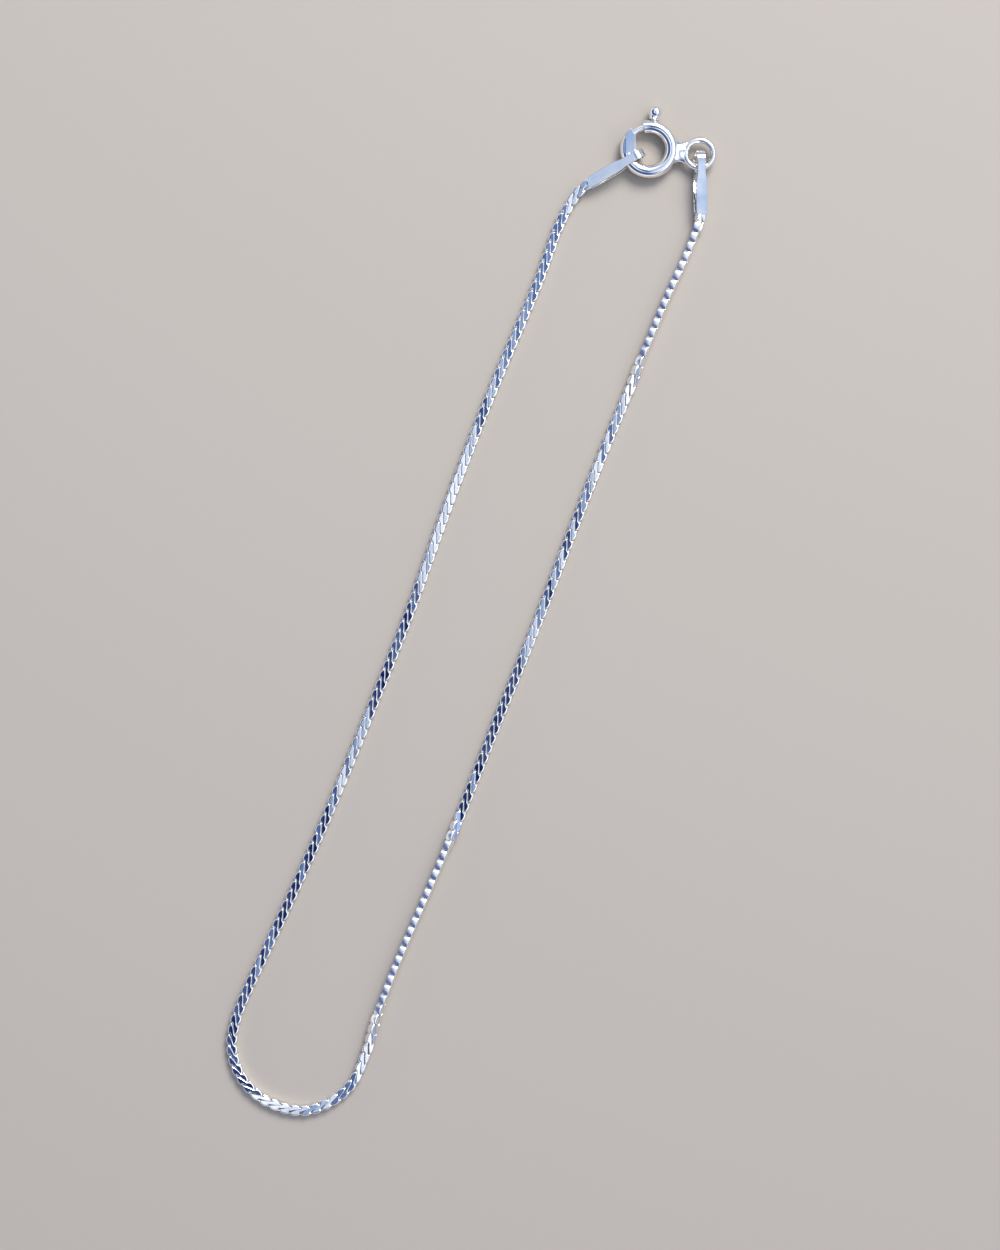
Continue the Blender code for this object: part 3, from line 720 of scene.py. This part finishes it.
def tab_outline():
    """The catch tab from above: straight sides and a blunt point."""
    middle = -(RING_RADIUS - TAB_INSET)
    half = TAB_WIDTH / 2
    tip = TAB_POINT_WIDTH / 2
    corners = [(middle - half, -TAB_ROOT), (middle + half, -TAB_ROOT), (middle + half, TAB_SHOULDER),
               (middle + tip, TAB_POINT), (middle - tip, TAB_POINT), (middle - half, TAB_SHOULDER)]
    a = radians(TAB_TURN_DEG)
    return [(x * cos(a) - y * sin(a), x * sin(a) + y * cos(a)) for x, y in corners]


def web_rings(sides):
    """The solder web's cross sections: rounded, narrowest half way, flaring into the ring and the eyelet."""
    rings = []
    for section in WEB_SECTIONS:
        wide, high = section["half_width"], section["half_height"]
        ring = []
        for i in range(sides):
            facing = 2 * pi * i / sides
            turn = atan2(high * sin(facing), wide * cos(facing))
            ring.append(Vector((section["from_centre"], wide * cos(turn), high * sin(turn))))
        rings.append(ring)
    return rings


def part_shape(name, fill):
    """A helper shape, made by a function that fills its form."""
    form = bmesh.new()
    fill(form)
    return mesh_object(name, form, None)


def boolean(thing, tool, operation):
    """Cut or join one helper shape with another."""
    step = thing.modifiers.new(tool.name, "BOOLEAN")
    step.operation = operation
    step.solver = "EXACT"
    step.object = tool


def settle(thing, tools, name, metal, to_model):
    """Apply a thing's modifiers, place the result in the model and clear the helpers away."""
    shapes = bpy.context.evaluated_depsgraph_get()
    mesh = bpy.data.meshes.new_from_object(thing.evaluated_get(shapes), depsgraph=shapes)
    mesh.transform(to_model)
    mesh.shade_smooth()
    mesh.set_sharp_from_angle(angle=radians(CLASP_SHARP_DEG))
    mesh.materials.clear()
    mesh.materials.append(metal)
    mesh.name = name
    made = bpy.data.objects.new(name, mesh)
    bpy.context.scene.collection.objects.link(made)
    for helper in [thing] + tools:
        bpy.data.objects.remove(helper, do_unlink=True)
    return made


def make_ring(metal, to_model):
    """Tube, tab, web and eyelet, as one soldered piece."""
    ring = part_shape("ring_shape", lambda f: loft(f, bent_rings(RING_RADIUS, tube_sections(), RING_SIDES)))

    seat_outline = sector(RING_RADIUS - RING_TUBE_D, RING_RADIUS + RING_TUBE_D,
                          TAB_SEAT_START_DEG, TAB_SEAT_END_DEG)
    seat = part_shape("tab_seat", lambda f: flat_plate(f, seat_outline, TAB_TOP_Z - TAB_T / 2, RING_TUBE_D))
    tab = part_shape("tab_shape", lambda f: flat_plate(f, tab_outline(), TAB_TOP_Z - TAB_T, TAB_TOP_Z))
    eased = tab.modifiers.new("eased", "BEVEL")
    eased.width = TAB_EASED_EDGE
    eased.segments = 2
    tab.rotation_euler.y = radians(TAB_LEAN_DEG)

    stem_half = degrees((STEM_D / 2 + BOLT_CLEARANCE) / (RING_RADIUS + BORE_D / 2))
    slot_outline = sector(RING_RADIUS, RING_RADIUS + RING_TUBE_D,
                          KNOB_DEG - BOLT_TRAVEL_DEG - stem_half, KNOB_DEG + stem_half)
    slot = part_shape("stem_slot", lambda f: flat_plate(f, slot_outline, -SLOT_HEIGHT / 2, SLOT_HEIGHT / 2))

    web = part_shape("web_shape", lambda f: loft(f, web_rings(WIRE_SIDES)))
    # The web stops half way into the tube's wall, so that it leaves the bore free for the bolt
    within_wall = (BORE_D + RING_TUBE_D) / 4
    room_sections = [(a, within_wall) for a in even(BORE_END_DEG - 1.0, MOUTH_DEG, BORE_STEP_DEG)]
    room = part_shape("bore_room", lambda f: loft(f, bent_rings(RING_RADIUS, room_sections, WIRE_SIDES)))
    boolean(web, room, "DIFFERENCE")

    eyelet_sections = [(a, EYELET_WIRE_D / 2) for a in even(0, 360, EYELET_STEP_DEG)[:-1]]
    eyelet_rings = bent_rings(EYELET_RADIUS, eyelet_sections, WIRE_SIDES)
    eyelet = part_shape("eyelet_shape", lambda f: loft(f, eyelet_rings, closed=True))
    eyelet.location.x = EYELET_X

    boolean(ring, seat, "DIFFERENCE")
    boolean(ring, slot, "DIFFERENCE")
    boolean(ring, web, "UNION")
    boolean(ring, eyelet, "UNION")
    boolean(ring, tab, "UNION")
    bpy.context.view_layer.update()
    return settle(ring, [seat, slot, web, room, eyelet, tab], "spring_ring", metal, to_model)


def make_bolt(metal, to_model):
    """The sliding wire, with its stem and ball knob."""
    wire_r = BOLT_WIRE_D / 2
    tail = [(BOLT_TAIL_DEG + row["inward_deg"], wire_r * row["share"]) for row in BOLT_END]
    tip = [(BOLT_TIP_DEG - row["inward_deg"], wire_r * row["share"]) for row in BOLT_END[::-1]]
    between = even(BOLT_TAIL_DEG + BOLT_END_DEG, BOLT_TIP_DEG - BOLT_END_DEG, RING_STEP_DEG)
    sections = tail + [(a, wire_r) for a in between] + tip
    bolt = part_shape("bolt_shape", lambda f: loft(f, bent_rings(RING_RADIUS, sections, WIRE_SIDES)))

    knob_r = KNOB_D / 2
    stem_r = STEM_D / 2
    neck_r = NECK_D / 2
    tube_edge = RING_OUTER_D / 2
    near = tube_edge + KNOB_STANDOFF
    centre = near + sqrt(knob_r ** 2 - stem_r ** 2)
    first = asin(neck_r / knob_r)
    profile = [(RING_RADIUS, stem_r), (tube_edge + BOLT_CLEARANCE * 0.5, stem_r),
               (tube_edge + BOLT_CLEARANCE, neck_r * COLLAR_SHARE), (near, neck_r * WAIST_SHARE)]
    for k in range(KNOB_STEPS + 1):
        turn = first + (pi - first) * k / KNOB_STEPS
        profile.append((centre - knob_r * cos(turn), max(knob_r * sin(turn), knob_r * KNOB_POLE_SHARE)))

    def fill_knob(form):
        turns = [2 * pi * i / KNOB_SIDES for i in range(KNOB_SIDES)]
        loft(form, [[Vector((along, radius * cos(turn), radius * sin(turn))) for turn in turns]
                    for along, radius in profile])

    knob = part_shape("knob_shape", fill_knob)
    knob.rotation_euler.z = radians(KNOB_DEG)
    boolean(bolt, knob, "UNION")
    bpy.context.view_layer.update()
    return settle(bolt, [knob], "spring_ring_bolt", metal, to_model)


# The studio

def make_floor():
    """Matt paper, which gives no highlight, so only the silver shines."""
    form = bmesh.new()
    corners = [(-FLOOR_REACH, -FLOOR_REACH), (FLOOR_REACH, -FLOOR_REACH),
               (FLOOR_REACH, FLOOR_REACH), (-FLOOR_REACH, FLOOR_REACH)]
    form.faces.new([form.verts.new((x, y, -FLOOR_BELOW)) for x, y in corners])
    material = bpy.data.materials.new("matt_paper_backdrop")
    material.use_nodes = True
    shader = material.node_tree.nodes["Principled BSDF"]
    shader.inputs["Base Color"].default_value = linear("#AFA699")
    shader.inputs["Roughness"].default_value = 0.85
    floor = mesh_object("studio_floor", form, material)


def fill_stops(elements, stops):
    """Put a table's colours on a colour ramp."""
    while len(elements) < len(stops):
        elements.new(0.5)
    for element, stop in zip(elements, stops):
        element.position = stop["at"]
        element.color = linear(stop["colour"])


def make_world():
    """A bright room: a dark gap between lamps overhead, and walls banded white and blue lower down."""
    world = bpy.data.worlds.new("studio_room")
    bpy.context.scene.world = world
    world.use_nodes = True
    tree = world.node_tree
    tree.nodes.clear()
    towards = add(tree, "ShaderNodeTexCoord").outputs["Generated"]

    across = add(tree, "ShaderNodeVectorMath",
                 {0: towards, 1: IMAGE_RIGHT / GAP_HALF_WIDTH}, operation="DOT_PRODUCT")
    along = add(tree, "ShaderNodeVectorMath",
                {0: towards, 1: IMAGE_UP / GAP_HALF_LENGTH}, operation="DOT_PRODUCT")
    centred = add(tree, "ShaderNodeMath",
                  {0: along.outputs["Value"], 1: GAP_MIDDLE / GAP_HALF_LENGTH}, operation="SUBTRACT")
    in_gap = add(tree, "ShaderNodeCombineXYZ", {"X": across.outputs["Value"], "Y": centred.outputs["Value"]})
    off_gap = add(tree, "ShaderNodeVectorMath", {0: in_gap.outputs["Vector"]}, operation="LENGTH")
    share = add(tree, "ShaderNodeMapRange", {"Value": off_gap.outputs["Value"], "From Max": GAP_REACH})
    overhead = add(tree, "ShaderNodeValToRGB", {"Fac": share.outputs["Result"]})

    level = add(tree, "ShaderNodeVectorMath", {0: towards, 1: (1, 1, 0)}, operation="MULTIPLY")
    off_zenith = add(tree, "ShaderNodeVectorMath", {0: level.outputs["Vector"]}, operation="LENGTH")
    dim_walls = add(tree, "ShaderNodeValToRGB", {"Fac": off_zenith.outputs["Value"]})
    window_walls = add(tree, "ShaderNodeValToRGB", {"Fac": off_zenith.outputs["Value"]})
    window = add(tree, "ShaderNodeVectorMath", {0: towards, 1: WINDOW_DIRECTION}, operation="DOT_PRODUCT")
    side = add(tree, "ShaderNodeMapRange",
               {"Value": window.outputs["Value"], "From Min": -SIDES_MEET, "From Max": SIDES_MEET})
    walls = add(tree, "ShaderNodeMix",
                {"Factor": side.outputs["Result"], 6: dim_walls.outputs["Color"],
                 7: window_walls.outputs["Color"]}, data_type="RGBA")
    for ramp, stops in ((overhead, OVERHEAD), (dim_walls, DIM_SIDE), (window_walls, WINDOW_SIDE)):
        fill_stops(ramp.color_ramp.elements, stops)

    room = add(tree, "ShaderNodeVectorMath",
               {0: overhead.outputs["Color"], 1: walls.outputs[2]}, operation="MULTIPLY")
    glow = add(tree, "ShaderNodeMapRange",
               {"Value": window.outputs["Value"], "From Min": -GLOW["reach"], "From Max": GLOW["reach"],
                "To Min": GLOW["dim"], "To Max": GLOW["bright"]}, interpolation_type="SMOOTHSTEP")
    back = add(tree, "ShaderNodeBackground",
               {"Color": room.outputs["Vector"], "Strength": glow.outputs["Result"]})
    add(tree, "ShaderNodeOutputWorld", {"Surface": back.outputs["Background"]})


def make_light(name, place, aim, size, power, colour):
    data = bpy.data.lights.new(name, "AREA")
    data.size = size
    data.energy = power
    data.color = linear(colour)[:3]
    lamp = bpy.data.objects.new(name, data)
    bpy.context.scene.collection.objects.link(lamp)
    lamp.location = place
    lamp.rotation_euler = (place - aim).to_track_quat("Z", "Y").to_euler()


def make_camera():
    data = bpy.data.cameras.new("camera")
    data.sensor_width = SENSOR_MM
    data.lens = SENSOR_MM * VIEW_HEIGHT / VIEW_LENGTH
    data.clip_start = 0.01
    camera = bpy.data.objects.new("camera", data)
    bpy.context.scene.collection.objects.link(camera)
    axes = Matrix((IMAGE_RIGHT, IMAGE_UP, Vector((0, 0, 1)))).transposed()
    camera.matrix_world = Matrix.Translation(VIEW_CENTRE + Vector((0, 0, VIEW_HEIGHT))) @ axes.to_4x4()
    bpy.context.scene.camera = camera


def main():
    # Soldered and buffed on a wheel: near mirrors, softer in patches where the wheel pressed less
    polished = silver("polished_sterling_silver", "#F3F1EC", roughness=(0.07, 0.14), mark_mm=0.35, bump=0.05)
    # Stamped from sheet and folded: the same metal, a touch duller and less even
    stamped = silver("stamped_sterling_silver", "#F1EFEA", roughness=(0.10, 0.18), mark_mm=0.25, bump=0.12)
    # Pressed flat between rolls: the sharpest mirrors, so a whole link face flashes white, blue or navy
    rolled = silver("rolled_serpentine_silver", "#F4F3F0", roughness=(0.05, 0.10), mark_mm=0.3, bump=0.04)
    # Only tumbled: satin, so the links' sides show as a row of pale beads
    tumbled = silver("tumbled_link_sides", "#F6F5F2", roughness=(0.24, 0.30), mark_mm=0.2, bump=0.1)

    left_frame = tag_frame("tag_left", LEFT_TAG_DEG + CLASP_TURN_DEG, 0)
    right_frame = tag_frame("tag_right", RIGHT_TAG_DEG + CLASP_TURN_DEG, RIGHT_TAG_ROLL_DEG, RIGHT_TAG_ASIDE)
    to_model = Matrix.Translation(RING_CENTRE) @ Matrix.Rotation(radians(CLASP_TURN_DEG), 4, "Z")

    chain = make_chain(rolled, tumbled, left_frame, right_frame)
    ring = make_ring(polished, to_model)
    bolt = make_bolt(polished, to_model)
    left_tag = make_tag("end_tag_ring_side", stamped, left_frame)
    right_tag = make_tag("end_tag_eyelet_side", stamped, right_frame)
    pieces = (
        {"piece": chain, "body": "bracelet", "node": "chain", "slot": "chain_silver"},
        {"piece": ring, "body": "bracelet", "node": "clasp_ring", "slot": "clasp_silver"},
        {"piece": bolt, "body": "bolt", "node": "clasp_bolt", "slot": "clasp_silver"},
        {"piece": left_tag, "body": "bracelet", "node": "tag_left", "slot": "tag_silver"},
        {"piece": right_tag, "body": "bracelet", "node": "tag_right", "slot": "tag_silver"},
    )
    for row in pieces:
        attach(row["piece"], row["body"])
        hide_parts(row["node"])

    make_floor()
    make_world()
    place = VIEW_CENTRE + IMAGE_UP * SOFTBOX["up"] + IMAGE_RIGHT * SOFTBOX["right"]
    place += Vector((0, 0, SOFTBOX["above"]))
    make_light("window_softbox", place, VIEW_CENTRE, SOFTBOX["size"], SOFTBOX["watts"], "#FBFBFF")
    make_camera()
    bpy.context.scene.view_settings.view_transform = "Standard"


main()
